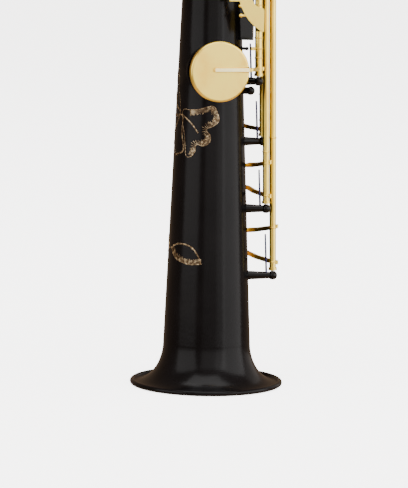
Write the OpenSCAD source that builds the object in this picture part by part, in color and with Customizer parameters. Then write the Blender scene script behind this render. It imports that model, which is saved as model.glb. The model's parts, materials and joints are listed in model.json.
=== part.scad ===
// Soprano saxophone, straight one-piece body with a detachable straight neck.
// The axis of the tube is Z, the bell rim stands on Z = 0 and the stack keys face -Y.
// Angles around the tube are measured from -Y towards +X.

/* [Body] */
// Outer diameter of the rolled bell rim
rim_d = 92.5; // [86:0.5:100]
// Height at which the flare of the bell begins
flare_h = 26; // [22:1:32]
// Height of the soldered seam between the bell and the body tube
seam_z = 60; // [52:1:64]
// Height of the top of the body tube
body_top = 600; // [590:1:720]
// Outer radius of the tube where the two tapers meet
knee_r = 17.7; // [17.2:0.1:21.5]
// Height at which the two tapers meet
knee_z = 234; // [232:1:236]
// Wall of the brass tube
wall = 0.6; // [0.5:0.05:0.9]
// Radius of the rolled bead on the bell rim
bead_r = 1.6; // [1.3:0.1:2.2]

/* [Tone holes and cups] */
// Height of a tone hole chimney above the tube
chimney_h = 2.0; // [1.6:0.1:2.6]
// Wall of a chimney
chimney_wall = 0.8; // [0.6:0.1:1.2]
// How far a cup reaches past its chimney
cup_reach = 2.4; // [1.8:0.1:3]
// Thickness of a pad
pad_t = 3.2; // [2.8:0.1:3.8]
// Thickness of the metal of a cup
cup_t = 1.1; // [0.8:0.1:1.4]
// Gap between a closed pad and its chimney
pad_gap = 0.08; // [0.05:0.01:0.1]
// Radius of the edge of a cup
cup_edge = 1.3; // [0.8:0.1:1.6]

/* [Hinges and posts] */
// Radius of the steel hinge rods
rod_r = 1.1; // [0.9:0.05:1.3]
// Running fit between a rod and its hinge tube
hinge_fit = 0.05; // [0.02:0.01:0.1]
// Outer radius of the long hinge tubes
tube_r = 2.0; // [1.8:0.05:2.2]
// Radius of a post's ball
ball_r = 2.8; // [2.5:0.1:3]
// Radius of a post's shank where it meets the tube
shank_r = 2.8; // [2.2:0.1:3.2]
// End clearance between a post and a hinge tube
end_gap = 0.35; // [0.3:0.05:0.6]

/* [Neck and mouthpiece] */
// Length of the neck above the body tube
neck_length = 68; // [62:1:90]
// Radius of the tenon that sits in the receiver
tenon_r = 8.9; // [8.6:0.1:9.4]
// Fit of the tenon in the receiver
tenon_fit = 0.04; // [0.02:0.01:0.1]
// Outer radius of the cork
cork_r = 7.9; // [7.6:0.1:8.2]
// Fit of the mouthpiece on the cork
cork_fit = 0.04; // [0.02:0.01:0.1]
// Length of the mouthpiece
mouthpiece_l = 62; // [58:1:66]
// Largest radius of the mouthpiece
mouthpiece_r = 10.6; // [10.2:0.1:11.2]

/* [Fittings] */
// Radius of the hole of the strap ring
strap_hole_r = 4.0; // [3.5:0.1:4.5]
// Length of the strap ring's hole
strap_ring_t = 2.6; // [2:0.1:3.2]
// Diameter of a finger pearl
pearl_d = 11; // [9:0.5:12]

/* [Hidden] */
$fn = 64;
eps = 0.01;
lower_taper = 0.0415;
upper_taper = 0.02787;
rim_r = rim_d / 2;
// How much of the bead is dressed flat where the rim stands.
land_depth = 0.12;

// Outer radius of the tube at height z.
function tube_at(z) = z < knee_z ? knee_r + lower_taper * (knee_z - z)
                                 : knee_r - upper_taper * (z - knee_z);
// A point at distance d from the axis, at angle phi and height z.
function polar(d, phi, z) = [d * sin(phi), -d * cos(phi), z];
// A hinge line is [x, y, z, dx/dz, dy/dz].
function line_at(l, z) = [l[0] + l[3] * (z - l[2]), l[1] + l[4] * (z - l[2]), z];
// A hinge line that follows the tube at angle phi and a distance from its wall.
function wall_line(phi, gap, z) = [(tube_at(z) + gap) * sin(phi), -(tube_at(z) + gap) * cos(phi), z,
                                   -upper_taper * sin(phi), upper_taper * cos(phi)];
// Points of a quadratic curve.
function curve(a, b, c, n = 12) =
    [for (i = [0:n]) let (t = i / n) (1 - t) * (1 - t) * a + 2 * t * (1 - t) * b + t * t * c];

// Hinge lines: four long ones on the right, the stacks, the palm, side and octave keys.
LOW_BFLAT = [39.4, 4, 74, -0.0169, 0.0005];
LOW_B = [34.6, -1.5, 111, -0.0171, 0.0005];
LOW_CSHARP = [32.0, 5, 150, -0.0171, 0.0005];
LOW_C = [28.7, -9, 190, -0.0160, 0.0010];
EFLAT = wall_line(-36, 5.4, 240);
LOWER_STACK = wall_line(64, 4.8, 300);
UPPER_STACK = wall_line(52, 4.4, 440);
GSHARP = wall_line(6, 5.0, 386);
PALM_D = wall_line(84, 5.2, 500);
PALM_EFLAT = wall_line(107, 5.2, 500);
PALM_F = wall_line(130, 5.2, 500);
SIDE_BFLAT = wall_line(-108, 4.8, 440);
SIDE_C = wall_line(-130, 4.8, 440);
SIDE_E = wall_line(-152, 4.8, 440);
OCTAVE = wall_line(-172, 4.8, 500);
VENT = wall_line(158, 4.6, 440);

// Heights of the posts of each hinge line. Its rod runs from the lowest to the highest.
BFLAT_POSTS = [66.4, 394];
B_POSTS = [107.5, 386];
CSHARP_POSTS = [147.7, 378];
C_POSTS = [184.6, 240];
EFLAT_POSTS = [237.5, 255.8];
LOWER_POSTS = [252, 315, 374];
UPPER_POSTS = [399, 453.5, 480];
GSHARP_POSTS = [375, 397];
PALM_D_POSTS = [440, 508];
PALM_EFLAT_POSTS = [476, 528];
PALM_F_POSTS = [502, 551];
SIDE_BFLAT_POSTS = [368, 443];
SIDE_C_POSTS = [392, 481];
SIDE_E_POSTS = [416, 533];
OCTAVE_POSTS = [412, 575];
VENT_POSTS = [435, 455];
LINES = [[LOW_BFLAT, BFLAT_POSTS], [LOW_B, B_POSTS], [LOW_CSHARP, CSHARP_POSTS], [LOW_C, C_POSTS],
         [EFLAT, EFLAT_POSTS], [LOWER_STACK, LOWER_POSTS], [UPPER_STACK, UPPER_POSTS],
         [GSHARP, GSHARP_POSTS], [PALM_D, PALM_D_POSTS], [PALM_EFLAT, PALM_EFLAT_POSTS],
         [PALM_F, PALM_F_POSTS], [SIDE_BFLAT, SIDE_BFLAT_POSTS], [SIDE_C, SIDE_C_POSTS],
         [SIDE_E, SIDE_E_POSTS], [OCTAVE, OCTAVE_POSTS], [VENT, VENT_POSTS]];
rod_over = 2.4;
// Where a hinge tube starts above a post and ends below one.
function above(z) = z + ball_r + end_gap;
function below(z) = z - ball_r - end_gap;

// Each tone hole is [height, angle, cup radius].
H_BFLAT = [85, 178, 17.5];
H_B = [125, 178, 17];
H_CSHARP = [161, 178, 16];
H_C = [191, 4, 18];
H_EFLAT = [250, -88, 14];
H_D = [269, 0, 13.5];
H_E = [300, 0, 12.6];
H_F = [330, 0, 12];
H_FSHARP = [358, 0, 11.3];
H_GSHARP = [386, -56, 10];
H_G = [412, 0, 10];
H_A = [440, 0, 9.5];
H_HIGH_B = [466, 0, 9];
H_SIDE_BFLAT = [434, -66, 8.5];
H_SIDE_C = [472, -84, 8.5];
H_SIDE_E = [524, -104, 7.5];
H_PALM_D = [500, 42, 7.5];
H_PALM_EFLAT = [520, 66, 7.2];
H_PALM_F = [543, 88, 7];
HOLES = [H_BFLAT, H_B, H_CSHARP, H_C, H_EFLAT, H_D, H_E, H_F, H_FSHARP, H_GSHARP, H_G, H_A, H_HIGH_B,
         H_SIDE_BFLAT, H_SIDE_C, H_SIDE_E, H_PALM_D, H_PALM_EFLAT, H_PALM_F];
// The two octave vents are small pips: [height, angle].
PIP_UPPER = [566, -128];
PIP_LOWER = [445, 118];
pip_r = 2.2;

// How far each open key stands open, in degrees, and the touches' thickness.
OPEN_LOW = 9;
OPEN_C = 12;
OPEN_STACK = 14;
touch_t = 1.8;

function pad_seat(h) = tube_at(h[0]) + chimney_h + pad_gap;
function cup_face(h) = pad_seat(h) + pad_t + cup_t;

// ---- helpers ----

// Local frame on the tube: x along the tangent, y up the tube, z outwards from the axis.
module seat(z, phi) translate([0, 0, z]) rotate([0, 0, phi]) rotate([90, 0, 0]) children();

// Local frame whose z runs along a hinge line, from height z.
module on_line(l, z) translate(line_at(l, z)) rotate(a = atan(norm([l[3], l[4]])), v = [-l[4], l[3], 0])
    children();

// Turns a key about its hinge line.
module swing(l, angle) {
    p = line_at(l, l[2]);
    translate(p) rotate(a = angle, v = [l[3], l[4], 1]) translate(-p) children();
}

// Solid of the tube's outside, used to trim what is soldered on it.
module tube_outside(z0, z1) {
    for (s = [[max(z0, 0), min(z1, knee_z)], [max(z0, knee_z), min(z1, body_top)]])
        if (s[1] > s[0])
            translate([0, 0, s[0]])
                cylinder(h = s[1] - s[0], r1 = tube_at(s[0]), r2 = tube_at(s[1]), $fn = 128);
}

// A flat strap in the plane across the tube: a path of [x, y] points, w wide and t thick.
module strap(path, z, w, t) translate([0, 0, z - t / 2]) linear_extrude(height = t) {
    for (i = [0:len(path) - 2]) {
        d = path[i + 1] - path[i];
        translate(path[i]) rotate(atan2(d[1], d[0])) translate([0, -w / 2]) square([norm(d), w]);
    }
    for (p = path) translate(p) circle(d = w, $fn = 24);
}

function flat(p) = [p[0], p[1]];
// The path of an arm from the crown of a cup, past its edge and down to its hinge line.
function arm_path(h, l, z, spine, bend = 0.52) =
    let (top = cup_face(h) + 0.5, hinge = flat(line_at(l, z)),
         side = sign(hinge * [cos(h[1]), sin(h[1])]),
         out = [sin(h[1]), -cos(h[1])], tan = [cos(h[1]), sin(h[1])] * side,
         shoulder = out * top + tan * (h[2] + 0.9))
    [out * top - tan * spine, shoulder, (shoulder + hinge) * bend, hinge, hinge * (1 + 2.2 / norm(hinge))];

// A strap that climbs by slope for each millimetre along x, and is at height z where x is x0.
module sloping_strap(path, z, w, t, x0, slope) intersection() {
    strap(path, z, w, 60);
    translate([x0, 0, z]) rotate([0, -atan(slope), 0]) cube([200, 200, t], center = true);
}

// Everything on one hinge tube, bored for its rod.
module on_hinge(l, z0, z1, r = tube_r) difference() {
    union() {
        on_line(l, z0) cylinder(h = z1 - z0, r = r, $fn = 32);
        for (z = [z0, z1 - 1.6]) on_line(l, z) cylinder(h = 1.6, r = r + 0.5, $fn = 32);
        children();
    }
    on_line(l, z0 - 5) cylinder(h = z1 - z0 + 10, r = rod_r + hinge_fit, $fn = 32);
}

// A key cup, open below for its pad, with a rounded edge.
module cup(h) {
    depth = pad_t - 1.0;
    all = depth + cup_t;
    edge = min(cup_edge, all - 0.6);
    seat(h[0], h[1]) translate([0, 0, pad_seat(h) + 1.0]) rotate_extrude($fn = 96) difference() {
        union() {
            square([h[2] - edge, all]);
            square([h[2], all - edge]);
            translate([h[2] - edge, all - edge]) circle(r = edge, $fn = 32);
        }
        square([h[2] - cup_t, depth]);
        translate([-10, -10]) square([10, 30]);
    }
}

// The pad in a cup, with a small domed resonator.
module pad(h) seat(h[0], h[1]) translate([0, 0, pad_seat(h)]) {
    cylinder(h = pad_t, r = h[2] - cup_t - 0.05, $fn = 96);
}

// A cup with an arm to its hinge at each height in zs.
module cup_and_arms(h, l, zs, w = 2.4, t = 3) {
    cup(h);
    for (z = zs) strap(arm_path(h, l, z, h[2] * 0.45), z, w, t);
}

// A low cup at the back with arms that spread towards the hinge: each is [height at the hinge, slope].
module low_cup_and_arms(h, l, arms) {
    cup(h);
    for (a = arms)
        sloping_strap(arm_path(h, l, a[0], h[2] * 0.3, 0.47), a[0], 2.4, 2.3, line_at(l, a[0])[0], a[1]);
}

// A flat round holder for a finger pearl, on the crown of a cup, and the pocket in it.
holder_h = 2.8;
pearl_t = 1.2;
module pearl_holder(h) seat(h[0], h[1]) translate([0, 0, cup_face(h)])
    cylinder(h = holder_h, d = pearl_d + 2.2, $fn = 48);
module pearl_pocket(h) seat(h[0], h[1]) translate([0, 0, cup_face(h) + holder_h - pearl_t])
    cylinder(h = 9, d = pearl_d + 0.1, $fn = 48);
module pearl(h) color("ivory") seat(h[0], h[1]) translate([0, 0, cup_face(h) + holder_h - pearl_t])
    cylinder(h = pearl_t, d = pearl_d, $fn = 48);

// A touch plate facing -Y: a rounded rectangle of x and z ranges with its front at y.
module touch_front(x0, x1, z0, z1, y, r = 3) translate([0, y + touch_t, 0]) rotate([90, 0, 0])
    linear_extrude(height = touch_t) {
        translate([x0 + r, z0]) square([x1 - x0 - 2 * r, z1 - z0]);
        translate([x0, z0 + r]) square([x1 - x0, z1 - z0 - 2 * r]);
        for (x = [x0 + r, x1 - r], z = [z0 + r, z1 - r]) translate([x, z]) circle(r = r, $fn = 32);
    }

// A raised oval touch on the tube's side: length along the tube, width across it.
module touch_side(z, phi, gap, length, width) seat(z, phi) translate([0, 0, tube_at(z) + gap])
    linear_extrude(height = touch_t) {
        translate([-width / 2, -(length - width) / 2]) square([width, length - width]);
        for (y = [-1, 1]) translate([0, y * (length - width) / 2]) circle(d = width, $fn = 32);
    }

// ---- body ----

// The bell: a flare that runs on into the cone, and a rolled bead with a flat land to stand on.
module bell() color([0.10, 0.10, 0.11]) {
    foot_r = rim_r - 2 * bead_r + 0.4;
    throat = tube_at(flare_h);
    outer = [for (i = [0:30]) let (t = 90 * i / 30)
             [throat + (foot_r - throat) * (1 - cos(t)), flare_h - (flare_h - bead_r) * sin(t) + wall / 2]];
    inner = [for (i = [30:-1:0]) let (t = 90 * i / 30)
             [throat - wall + (foot_r - throat + wall) * (1 - cos(t)),
              flare_h - (flare_h - bead_r + wall) * sin(t) + wall / 2]];
    cone = [[tube_at(seam_z) - wall, seam_z], [tube_at(seam_z), seam_z]];
    difference() {
        union() {
            rotate_extrude($fn = 180) polygon(concat(outer, inner, cone));
            rotate_extrude($fn = 180) translate([rim_r - bead_r, bead_r - land_depth]) circle(r = bead_r, $fn = 48);
        }
        translate([0, 0, -2]) cylinder(h = 2, r = rim_r + 1);
    }
}

module chimney_solid(h) seat(h[0], h[1])
    cylinder(h = tube_at(h[0]) + chimney_h, r = h[2] - cup_reach, $fn = 96);
module chimney_bore(h) seat(h[0], h[1])
    cylinder(h = tube_at(h[0]) + chimney_h + 1, r = h[2] - cup_reach - chimney_wall, $fn = 96);

// The conical tube with its drawn tone holes and octave pips.
module body_tube() color([0.10, 0.10, 0.11]) difference() {
    union() {
        tube_outside(seam_z, body_top);
        for (h = HOLES) chimney_solid(h);
        for (p = [PIP_UPPER, PIP_LOWER]) seat(p[0], p[1])
            cylinder(h = tube_at(p[0]) + chimney_h, r = pip_r, $fn = 32);
    }
    translate([0, 0, seam_z - eps]) cylinder(h = knee_z - seam_z + eps,
        r1 = tube_at(seam_z) - wall, r2 = knee_r - wall, $fn = 128);
    translate([0, 0, knee_z - eps]) cylinder(h = body_top - knee_z + 2 * eps,
        r1 = knee_r - wall, r2 = tube_at(body_top) - wall, $fn = 128);
    for (h = HOLES) chimney_bore(h);
    for (p = [PIP_UPPER, PIP_LOWER]) seat(p[0], p[1])
        cylinder(h = tube_at(p[0]) + chimney_h + 1, r = 0.8, $fn = 32);
}

module post(l, z) {
    p = line_at(l, z);
    d = norm(flat(p));
    phi = atan2(p[0], -p[1]);
    difference() {
        union() {
            translate(p) sphere(r = ball_r, $fn = 32);
            seat(z, phi) translate([0, 0, tube_at(z) - 1.6]) {
                cylinder(h = d - tube_at(z) + 1.6, r1 = min(shank_r, ball_r), r2 = ball_r * 0.68, $fn = 32);
            }
        }
        tube_outside(z - 8, z + 8);
        on_line(l, z - 5) cylinder(h = 10, r = rod_r + 0.02, $fn = 32);
    }
}

// A ball on a shank without a rod: it stops a key or carries a spring.
module stop_post(z, phi, d, r) difference() {
    seat(z, phi) {
        translate([0, 0, tube_at(z) - 1.6]) cylinder(h = d - tube_at(z) + 1.6, r = r * 0.8, $fn = 32);
        translate([0, 0, d]) sphere(r = r, $fn = 32);
    }
    tube_outside(z - 8, z + 8);
}
// A soldered rib that stands on the tube behind the low C hinge.
module rib(z0, z1, phi, d) difference() {
    seat(z0, phi) translate([-1.5, 0, tube_at(z0) - 3]) cube([3, z1 - z0, d - tube_at(z0) + 3]);
    tube_outside(z0 - 5, z1 + 5);
}
module posts() color([0.08, 0.08, 0.09]) {
    for (l = LINES) for (z = l[1]) post(l[0], z);
    stop_post(178.9, 70, 25.6, 2.6);
    stop_post(204, 68, 23.2, 1.1);
    rib(209, 234.5, 72, 26.2);
}

module hinge_rods() color([0.62, 0.63, 0.65]) for (l = LINES) {
    z0 = l[1][0] - rod_over;
    z1 = l[1][len(l[1]) - 1] + rod_over;
    difference() {
        on_line(l[0], z0) cylinder(h = z1 - z0, r = rod_r, $fn = 32);
        on_line(l[0], z1 - 0.7) translate([-0.2, -3, 0]) cube([0.4, 6, 3]);
    }
}

// Blued needle springs from a post up to the arm of its key.
module needle(a, b) {
    d = b - a;
    translate(a) rotate([0, acos(d[2] / norm(d)), atan2(d[1], d[0])])
        cylinder(h = norm(d), r1 = 0.65, r2 = 0.5, $fn = 16);
}
// Each is [hinge line, height of its post, height of its tip, distance from the line].
SPRINGS = [[LOW_BFLAT, BFLAT_POSTS[0], 91.6, -3.9], [LOW_B, B_POSTS[0], 131, -3.6],
           [LOW_CSHARP, CSHARP_POSTS[0], 172, -3.2], [LOW_C, C_POSTS[0], 207, -4.4]];
module needle_springs() color([0.16, 0.19, 0.34]) {
    for (s = SPRINGS) {
        p = line_at(s[0], s[1]);
        q = line_at(s[0], s[2]);
        needle([p[0] + s[3], p[1] * 0.8, s[1] + 1.2], [q[0] + s[3] - 0.6, q[1] * 0.8, s[2]]);
    }
}

// ---- neck end ----
socket_z0 = body_top - 12;
socket_z1 = body_top + 14;
module neck_receiver() color([0.83, 0.72, 0.50]) difference() {
    union() {
        translate([0, 0, socket_z0]) cylinder(h = socket_z1 - socket_z0, r = tenon_r + 1.3);
        for (z = [socket_z0, socket_z1 - 3]) translate([0, 0, z]) cylinder(h = 3, r = tenon_r + 1.9);
        translate([-4.2, tenon_r, body_top + 1]) cube([8.4, 6.4, 8]);
    }
    tube_outside(socket_z0 - 5, body_top);
    translate([0, 0, body_top - eps]) cylinder(h = 40, r = tenon_r + tenon_fit);
    translate([-0.6, tenon_r - 3, body_top]) cube([1.2, 14, 40]);
    translate([-10, tenon_r + 4, body_top + 5]) rotate([0, 90, 0]) cylinder(h = 20, r = 1.3, $fn = 32);
}
module clamp_screw() color([0.85, 0.74, 0.52]) translate([0, tenon_r + 4, body_top + 5]) rotate([0, 90, 0]) {
    translate([0, 0, -6.5]) cylinder(h = 11.2, r = 1.25, $fn = 32);
    translate([0, 0, 4.5]) cylinder(h = 5.5, r = 3.2, $fn = 32);
    translate([0, 0, 10]) cylinder(h = 1.2, r1 = 3.2, r2 = 2.2, $fn = 32);
}

neck_top = body_top + neck_length;
neck_r0 = tube_at(body_top);
neck_r1 = tube_at(body_top) - upper_taper * (neck_top - body_top);
module neck_tube() color([0.83, 0.72, 0.50]) difference() {
    union() {
        translate([0, 0, body_top + 0.1]) cylinder(h = 14.2, r = tenon_r);
        translate([0, 0, socket_z1 + 0.2]) cylinder(h = 2.6, r = tenon_r + 1.7);
        translate([0, 0, socket_z1 + 2.8]) cylinder(h = 2, r1 = tenon_r + 1.2, r2 = neck_r0);
        translate([0, 0, body_top + 10]) cylinder(h = neck_top - body_top - 10,
            r1 = neck_r0 - upper_taper * 10, r2 = neck_r1);
    }
    translate([0, 0, body_top]) cylinder(h = neck_top - body_top + eps,
        r1 = neck_r0 - wall, r2 = neck_r1 - wall);
}
cork_z0 = neck_top - 32;
cork_z1 = neck_top - 3;
function neck_at(z) = neck_r0 - upper_taper * (z - body_top);
// The cork and the mouthpiece stay thick enough round a wider neck
cork_out = max(cork_r, neck_at(cork_z0) + 0.6);
mp_r = max(mouthpiece_r, cork_out + 2.3);
module neck_cork() color([0.76, 0.58, 0.38]) difference() {
    translate([0, 0, cork_z0]) cylinder(h = cork_z1 - cork_z0, r = cork_out);
    translate([0, 0, cork_z0 - 1]) cylinder(h = cork_z1 - cork_z0 + 2,
        r1 = neck_at(cork_z0 - 1), r2 = neck_at(cork_z1 + 1));
}

// ---- mouthpiece ----
mp_z = neck_top - 24;
mp_tip = mp_z + mouthpiece_l;
table_y = mp_r - 1.7;
module mouthpiece_outside(grow = 0) {
    translate([0, 0, mp_z])
        cylinder(h = mouthpiece_l, r1 = mp_r + grow, r2 = mp_r - 1.4 + grow);
}
module mouthpiece() color([0.07, 0.07, 0.07]) difference() {
    union() {
        mouthpiece_outside();
        translate([0, 0, mp_z]) cylinder(h = 3.4, r = mp_r + 0.8);
    }
    translate([0, 0, mp_z - 1]) cylinder(h = 27, r = cork_out + cork_fit);
    translate([0, 0, mp_z + 26 - eps]) cylinder(h = 16, r = 6.0);
    translate([-20, table_y, mp_z + 6]) cube([40, 20, mouthpiece_l]);
    translate([-4.6, -1, mp_z + 38]) cube([9.2, 20, mouthpiece_l - 40]);
    translate([-20, table_y - 0.4, mp_tip]) rotate([-21, 0, 0]) translate([0, -30, -60]) cube([40, 30, 90]);
    translate([-20, table_y - 0.4 - 30, mp_tip - 0.8]) cube([40, 60, 5]);
}
module reed() color([0.88, 0.78, 0.52]) intersection() {
    mouthpiece_outside(0.5);
    translate([-6.2, table_y, mp_z + 7]) cube([12.4, 6, mouthpiece_l - 8.2]);
    translate([-10, table_y, 0]) rotate([90, 0, 90]) linear_extrude(height = 20)
        polygon([[0, mp_z], [4, mp_z], [2.2, mp_z + 34], [0.25, mp_tip], [0, mp_tip]]);
}
lig_z = mp_z + 9;
module ligature() color([0.83, 0.72, 0.50]) {
    difference() {
        union() {
            translate([0, 0, lig_z]) cylinder(h = 17, r = mp_r + 1.3);
            for (z = [lig_z + 3.5, lig_z + 12]) for (x = [-1, 1])
                translate([x * 2.4, mp_r + 3.6, z]) rotate([0, 90, 0])
                    cylinder(h = 2.4, r = 2.9, center = true, $fn = 32);
        }
        translate([0, 0, lig_z - 1]) cylinder(h = 40, r = mp_r + 0.55);
        translate([-1, 0, lig_z - 1]) cube([2, 20, 40]);
        for (z = [lig_z + 3.5, lig_z + 12]) translate([-10, mp_r + 3.6, z]) rotate([0, 90, 0])
            cylinder(h = 20, r = 1.02, $fn = 32);
    }
}
module ligature_screws() color([0.83, 0.72, 0.50]) for (z = [lig_z + 3.5, lig_z + 12])
    translate([0, mp_r + 3.6, z]) rotate([0, 90, 0]) {
        translate([0, 0, -4]) cylinder(h = 8, r = 1.0, $fn = 32);
        translate([0, 0, 3.7]) cylinder(h = 5, r = 2.4, $fn = 32);
    }

// ---- fittings on the back: heights of the thumb hook, the thumb rest and the strap ring ----
hook_z = 318;
rest_z = 398;
ring_z = 372;
module thumb_hook() color([0.83, 0.72, 0.50]) difference() {
    union() {
        seat(hook_z, 180) translate([-6, -13, tube_at(hook_z) - 4]) cube([12, 26, 6.2]);
        translate([0, 0, hook_z]) rotate([0, 0, 180]) rotate([90, 0, 0]) translate([-5, -4, tube_at(hook_z) + 2])
            rotate([0, 90, 0]) linear_extrude(height = 10) {
                difference() {
                    translate([-11, 0]) circle(r = 12, $fn = 48);
                    translate([-11, 0]) circle(r = 9.8, $fn = 48);
                    translate([-30, -30]) square([60, 32]);
                    translate([-0.2, -30]) square([60, 60]);
                }
            }
    }
    tube_outside(hook_z - 28, hook_z + 27);
    seat(hook_z, 180) translate([0, -9, 0]) cylinder(h = 60, r = 1.62, $fn = 32);
}
module thumb_hook_screw() color([0.85, 0.74, 0.52]) seat(hook_z, 180) translate([0, -9, tube_at(hook_z)]) {
    translate([0, 0, 0.4]) cylinder(h = 2.2, r = 1.6, $fn = 32);
    translate([0, 0, 2.2]) cylinder(h = 5.5, r = 3.2, $fn = 32);
}
module thumb_rest() color([0.05, 0.05, 0.05]) difference() {
    seat(rest_z, 180) {
        translate([0, 0, tube_at(rest_z) - 3]) cylinder(h = 6.4, r = 7.5, $fn = 48);
        translate([0, 0, tube_at(rest_z) + 3.4]) cylinder(h = 1.2, r1 = 7.5, r2 = 6, $fn = 48);
    }
    tube_outside(rest_z - 14, rest_z + 14);
}
module strap_ring() color([0.83, 0.72, 0.50]) difference() {
    union() {
        seat(ring_z, 180) translate([-4, -9, tube_at(ring_z) - 4]) cube([8, 18, 5.6]);
        translate([0, tube_at(ring_z) + strap_hole_r + 2.6, ring_z]) rotate([0, 0, 90]) {
            rotate([90, 0, 0]) cylinder(h = strap_ring_t, r = strap_hole_r + 1.8, center = true, $fn = 48);
            translate([-6.4, -strap_ring_t / 2, -2.4]) cube([3, strap_ring_t, 4.8]);
        }
    }
    tube_outside(ring_z - 22, ring_z + 18);
    translate([0, tube_at(ring_z) + strap_hole_r + 2.6, ring_z]) rotate([0, 90, 0])
        cylinder(h = 20, r = strap_hole_r, center = true, $fn = 48);
}

// ---- keys: each is drawn closed, then turned open if it stands open ----
gold = [0.86, 0.78, 0.60];
module low_bflat_move() swing(LOW_BFLAT, -OPEN_LOW) children();
module low_bflat_key() color(gold) low_bflat_move()
    on_hinge(LOW_BFLAT, above(BFLAT_POSTS[0]), below(BFLAT_POSTS[1])) {
        low_cup_and_arms(H_BFLAT, LOW_BFLAT, [[74.6, -0.1], [95.6, 0.27]]);
        strap([flat(line_at(LOW_BFLAT, 350)), [41, -4], [41, -17]], 350, 2.6, 4);
        touch_front(30, 54, 343, 357, -18.4);
    }
module low_bflat_pad() color("saddlebrown") low_bflat_move() pad(H_BFLAT);

module low_b_move() swing(LOW_B, -OPEN_LOW) children();
module low_b_key() color(gold) low_b_move()
    on_hinge(LOW_B, above(B_POSTS[0]), below(B_POSTS[1])) {
        low_cup_and_arms(H_B, LOW_B, [[115.5, -0.1], [135, 0.27]]);
        strap([flat(line_at(LOW_B, 368)), [34, -17]], 368, 2.6, 4);
        touch_front(33, 51, 361, 375, -18.4);
    }
module low_b_pad() color("saddlebrown") low_b_move() pad(H_B);

module low_csharp_key() color(gold)
    on_hinge(LOW_CSHARP, above(CSHARP_POSTS[0]), below(CSHARP_POSTS[1])) {
        low_cup_and_arms(H_CSHARP, LOW_CSHARP, [[154.7, -0.1]]);
        strap([flat(line_at(LOW_CSHARP, 368)), [24.8, -6], [24, -17]], 368, 2.6, 4);
        touch_front(17.5, 29, 361, 375, -18.4);
    }
module low_csharp_pad() color("saddlebrown") pad(H_CSHARP);

roller_at = [8.8, -20.9, 234.5];
roller_l = 8;
roller_r = 1.9;
roller_pin_r = 0.7;
module low_c_move() swing(LOW_C, OPEN_C) children();
module low_c_key() color(gold) low_c_move()
    on_hinge(LOW_C, above(C_POSTS[0]), below(C_POSTS[1]), 2.2) {
        cup(H_C);
        strap(arm_path(H_C, LOW_C, 192.2, 2.9), 192.2, 2.4, 2);
        strap([flat(line_at(LOW_C, 204)), flat(line_at(LOW_C, 204)) - [4.2, 0]], 204, 1.8, 2);
        translate([0, -20, 0]) rotate([90, 0, 0]) linear_extrude(height = touch_t)
            polygon(concat(curve([11, 247], [12.4, 222], [28, 214.4]),
                           curve([28, 228.4], [18.5, 229], [19.5, 247])));
        translate([26.2, -21, 214.6]) cube([2.6, 11.5, 13]);
        translate(roller_at - [0, 0, 2.2]) cylinder(h = roller_l + 4.4, r = roller_pin_r, $fn = 32);
        for (z = [-2.2, roller_l + 0.4]) translate(roller_at + [-1.4, -1.2, z]) cube([7, 2.4, 1.8]);
        // A stop pin with a ball end, and a smaller stud above it.
        translate([14.6, -21, 224]) sphere(r = 1.3, $fn = 32);
        translate([14.6, -21, 224]) rotate([0, 90, 0]) cylinder(h = 4, r = 0.7, $fn = 32);
        translate([14, -21, 229.6]) sphere(r = 1, $fn = 32);
    }
module low_c_pad() color("saddlebrown") low_c_move() pad(H_C);
module pinky_roller() color([0.05, 0.05, 0.05]) low_c_move() translate(roller_at) difference() {
    cylinder(h = roller_l, r = roller_r, $fn = 32);
    translate([0, 0, -1]) cylinder(h = roller_l + 2, r = roller_pin_r + hinge_fit, $fn = 32);
}

module eflat_key() color(gold) on_hinge(EFLAT, above(EFLAT_POSTS[0]), below(EFLAT_POSTS[1])) {
    cup_and_arms(H_EFLAT, EFLAT, [249.6]);
    strap([flat(line_at(EFLAT, 244)), [-10, -25], [0, -25]], 244, 2.4, 4);
    touch_front(-10, 2.6, 238, 253, -26.4);
}
module eflat_pad() color("saddlebrown") pad(H_EFLAT);

// The stack keys share one shape.
module stack_move(l) swing(l, OPEN_STACK) children();
module stack_key(h, l, z0, z1, held = true) color(gold) stack_move(l) difference() {
    on_hinge(l, z0, z1) {
        cup_and_arms(h, l, [h[0]]);
        if (held) pearl_holder(h);
    }
    if (held) pearl_pocket(h);
}
module d_key() stack_key(H_D, LOWER_STACK, above(LOWER_POSTS[0]), 283.5);
module e_key() stack_key(H_E, LOWER_STACK, 284, below(LOWER_POSTS[1]));
module f_key() stack_key(H_F, LOWER_STACK, above(LOWER_POSTS[1]), 343.5);
module fsharp_key() stack_key(H_FSHARP, LOWER_STACK, 344, below(LOWER_POSTS[2]), false);
module g_key() stack_key(H_G, UPPER_STACK, above(UPPER_POSTS[0]), 425);
module a_key() stack_key(H_A, UPPER_STACK, 425.5, below(UPPER_POSTS[1]));
module b_key() stack_key(H_HIGH_B, UPPER_STACK, above(UPPER_POSTS[1]), below(UPPER_POSTS[2]));
module stack_pad(h, l) color("saddlebrown") stack_move(l) pad(h);
module d_pad() stack_pad(H_D, LOWER_STACK);
module e_pad() stack_pad(H_E, LOWER_STACK);
module f_pad() stack_pad(H_F, LOWER_STACK);
module fsharp_pad() stack_pad(H_FSHARP, LOWER_STACK);
module g_pad() stack_pad(H_G, UPPER_STACK);
module a_pad() stack_pad(H_A, UPPER_STACK);
module b_pad() stack_pad(H_HIGH_B, UPPER_STACK);
module d_pearl() stack_move(LOWER_STACK) pearl(H_D);
module e_pearl() stack_move(LOWER_STACK) pearl(H_E);
module f_pearl() stack_move(LOWER_STACK) pearl(H_F);
module g_pearl() stack_move(UPPER_STACK) pearl(H_G);
module a_pearl() stack_move(UPPER_STACK) pearl(H_A);
module b_pearl() stack_move(UPPER_STACK) pearl(H_HIGH_B);

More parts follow.
